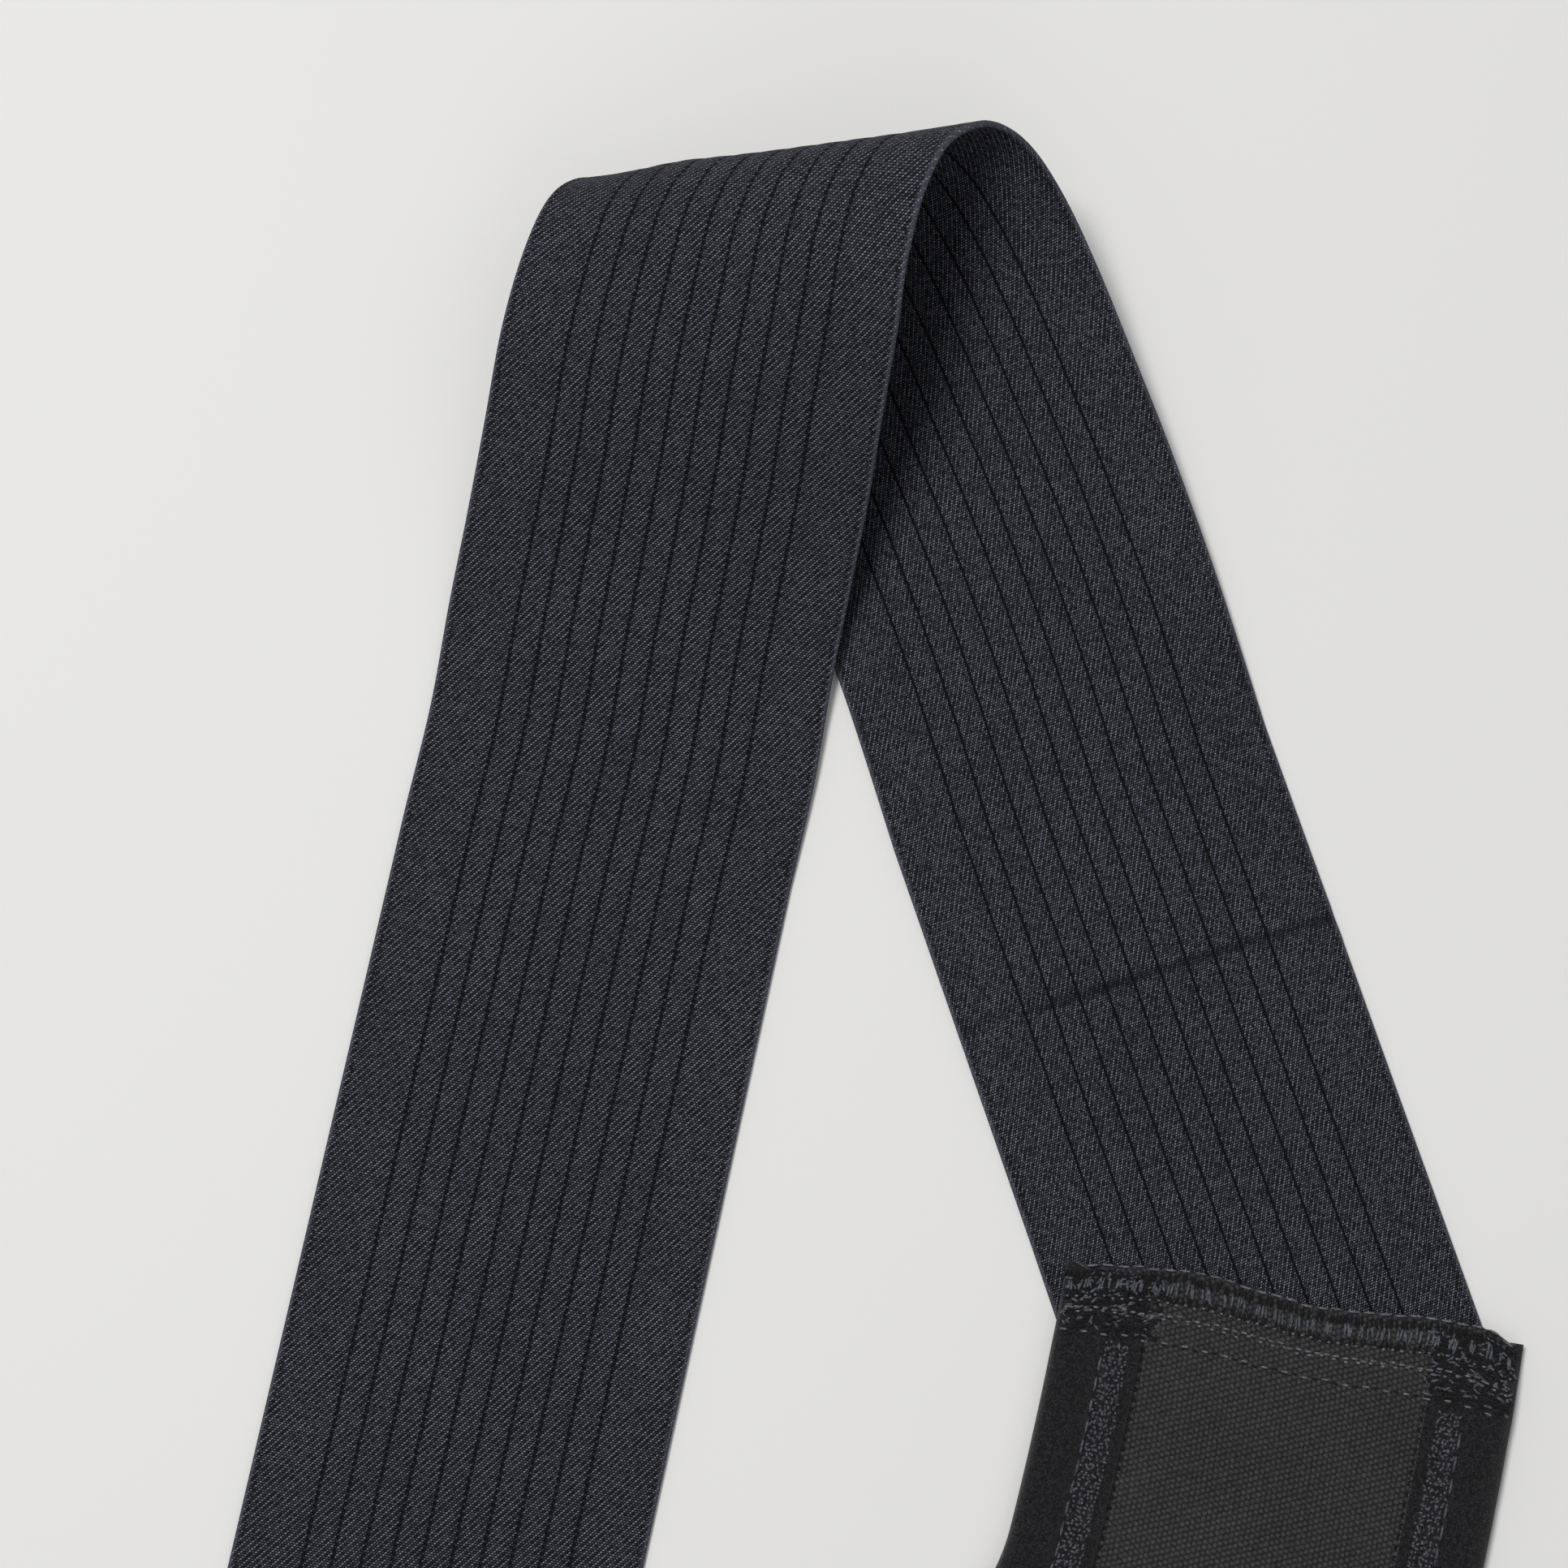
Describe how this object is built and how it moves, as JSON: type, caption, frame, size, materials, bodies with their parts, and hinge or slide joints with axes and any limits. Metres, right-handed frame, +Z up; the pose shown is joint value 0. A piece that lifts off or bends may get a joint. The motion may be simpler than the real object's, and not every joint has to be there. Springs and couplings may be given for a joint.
{
  "type": "lumbar support belt",
  "caption": "Contoured lumbar support belt: a bound mesh back panel with stays, hinged wings, a landing tab and a long ribbed elastic strap folded back over itself.",
  "frame": {"origin": "middle of the back panel's lining, at the wearer's spine, on the surface the belt lies on", "axes": "+Z is up from the surface and out of the belt's outer face. +Y runs along the belt's length, from the landing tab towards the strap's fold. +X is towards the panel's convex edge."},
  "size_m": [0.3083, 0.6027, 0.0509],
  "materials": {
    "elastic": "ribbed woven elastic, matt",
    "mesh": "knitted tricot mesh, matt",
    "binding": "plush edge binding",
    "foam": "open foam",
    "lining": "brushed lining",
    "pocket": "woven tape",
    "thread": "sewing thread",
    "steel": "brushed spring steel",
    "cap": "moulded",
    "hook": "hook tape",
    "loop": "loop tape"
  },
  "bodies": {
    "back": {"back_lining": "lining", "back_core": "foam", "back_mesh": "mesh", "back_binding_inner": "binding", "back_binding_outer": "binding", "stay_pocket_1": "pocket", "stay_pocket_2": "pocket", "stay_pocket_3": "pocket", "stay_pocket_4": "pocket", "stay_1": "steel", "stay_2": "steel", "stay_3": "steel", "stay_4": "steel", "stay_caps": "cap"},
    "strap_wing": {"strap_wing_lining": "lining", "strap_wing_core": "foam", "strap_wing_mesh": "mesh", "strap_wing_binding_inner": "binding", "strap_wing_binding_outer": "binding", "strap_sewn_end": "elastic", "strap_seam_stitching": "thread"},
    "tab_wing": {"tab_wing_lining": "lining", "tab_wing_core": "foam", "tab_wing_mesh": "mesh", "tab_wing_binding_inner": "binding", "tab_wing_binding_outer": "binding", "tab_sewn_end": "elastic", "tab_seam_stitching": "thread"},
    "strap_lower": {"strap_lower_leg": "elastic", "strap_loop": "elastic"},
    "strap_upper": {"strap_upper_leg": "elastic"},
    "hook_end": {"hook_tab": "lining", "hook_patch": "hook", "hook_patch_stitching": "thread"},
    "landing_end": {"landing_tab": "elastic", "landing_tab_hem": "elastic", "loop_patch": "loop", "loop_patch_stitching": "thread"}
  },
  "joints": [
    {"name": "strap_wing_fold", "type": "hinge", "parent": "back", "child": "strap_wing", "pos_m": [0.02768, 0.06967, 0.0044], "axis": [0.9478, -0.319, 0], "range_deg": [0, 60]},
    {"name": "tab_wing_fold", "type": "hinge", "parent": "back", "child": "tab_wing", "pos_m": [-0.03497, -0.06631, 0.0044], "axis": [-0.8583, 0.5132, 0], "range_deg": [0, 60]},
    {"name": "strap_seam_bend", "type": "hinge", "parent": "strap_wing", "child": "strap_lower", "pos_m": [0.05253, 0.16541, 0.0036], "axis": [0.9833, -0.1822, 0], "range_deg": [0, 60]},
    {"name": "strap_fold_open", "type": "hinge", "parent": "strap_lower", "child": "strap_upper", "pos_m": [-0.033, 0.36, 0.014], "axis": [-0.9988, -0.0499, 0], "range_deg": [0, 50], "deforming": ["strap_loop"]},
    {"name": "hook_tab_bend", "type": "hinge", "parent": "strap_upper", "child": "hook_end", "pos_m": [-0.1032, 0.10189, 0.0022], "axis": [-0.9774, 0.2113, 0], "range_deg": [0, 90]},
    {"name": "landing_tab_bend", "type": "hinge", "parent": "tab_wing", "child": "landing_end", "pos_m": [-0.09161, -0.1474, 0.0036], "axis": [-0.7773, 0.6291, 0], "range_deg": [0, 60]}
  ]
}
